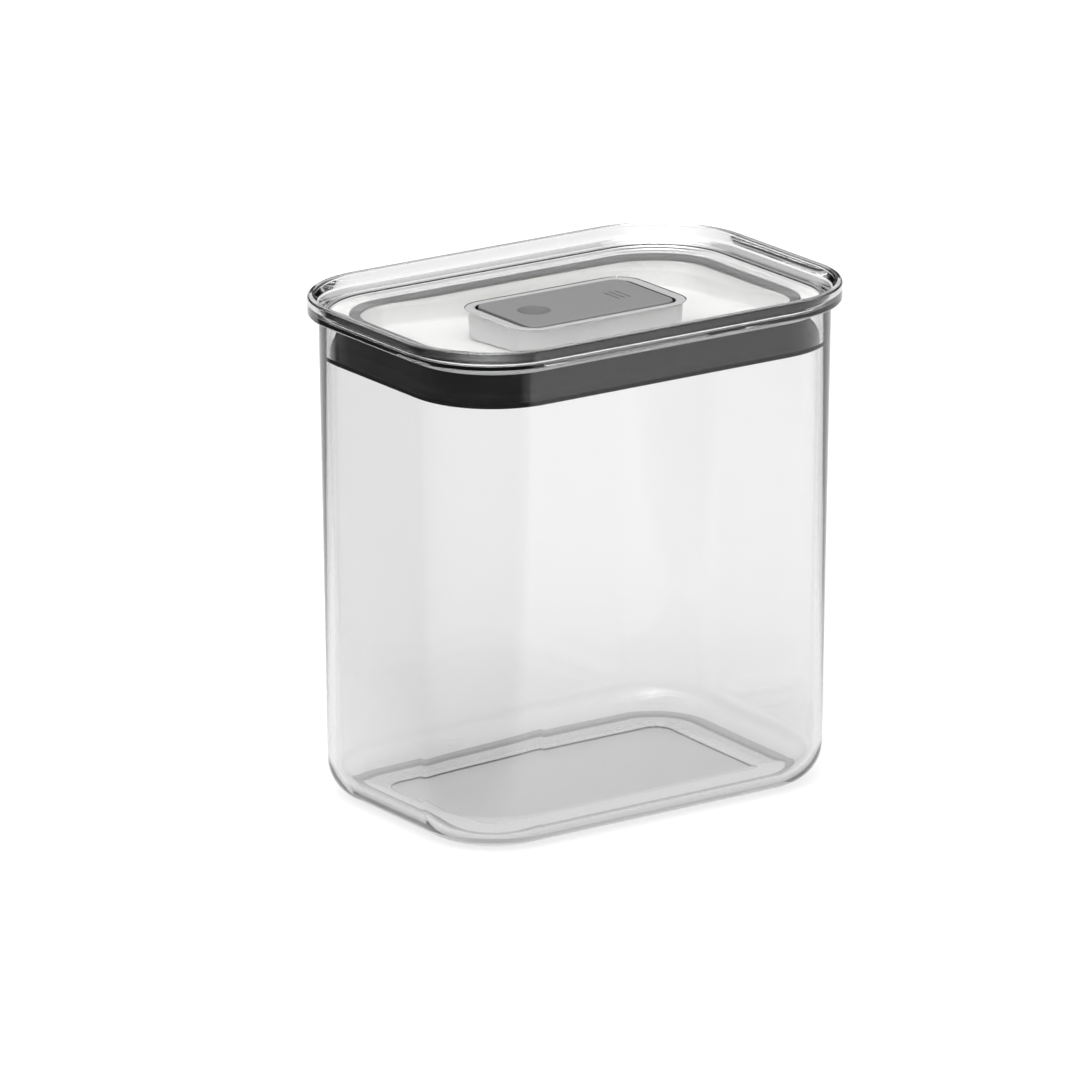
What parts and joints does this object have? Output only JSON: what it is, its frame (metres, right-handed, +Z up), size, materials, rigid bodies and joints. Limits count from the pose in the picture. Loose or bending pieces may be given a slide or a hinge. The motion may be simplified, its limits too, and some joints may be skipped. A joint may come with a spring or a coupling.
{
  "type": "lidded storage canister",
  "caption": "Clear upright food canister with a press-and-tilt rocker lid that draws a white pan up against a soft dark gasket.",
  "frame": {"origin": "centre of the base, on the surface that the canister stands on", "axes": "+Z up, X along the long side with the rocker's grip end at +X, Y along the short side with the front at -Y"},
  "size_m": [0.165, 0.1138, 0.17],
  "materials": {
    "container": "clear, smooth",
    "cover": "clear, polished",
    "white_plastic": "white, fine satin",
    "well": "pale grey, satin",
    "gasket": "dark grey silicone, satin",
    "ring_seal": "mid grey silicone",
    "rocker_cap": "mid grey, fine matte grain",
    "rocker_core": "dark grey moulded plastic",
    "steel": "stainless steel"
  },
  "bodies": {
    "canister": {"canister_body": "container"},
    "lid": {"lid_cover": "cover", "gasket_frame": "white_plastic", "handle_well": "well", "seal_gasket": "gasket", "chamber_seal": "ring_seal", "post_seal_front": "gasket", "post_seal_back": "gasket"},
    "pan": {"pan": "white_plastic", "draw_post_front": "white_plastic", "draw_post_back": "white_plastic", "post_screw_front": "steel", "post_screw_back": "steel", "pivot_pin": "steel"},
    "rocker": {"rocker_core": "rocker_core", "rocker_cap": "rocker_cap"}
  },
  "joints": [
    {"name": "lid_lift", "type": "slide", "parent": "canister", "child": "lid", "axis": [0, 0, 1], "range_m": [0, 0.12]},
    {"name": "pan_drop", "type": "slide", "parent": "lid", "child": "pan", "axis": [0, 0, -1], "range_m": [0, 0.00126], "deforming": ["seal_gasket", "chamber_seal"]},
    {"name": "rocker_tilt", "type": "hinge", "parent": "pan", "child": "rocker", "pos_m": [-0.008, 0, 0.1582], "axis": [0, -1, 0], "range_deg": [0, 16]}
  ],
  "couplings": [
    {"joint": "rocker_tilt", "follows": "pan_drop", "rad_per_m": 222.22}
  ]
}
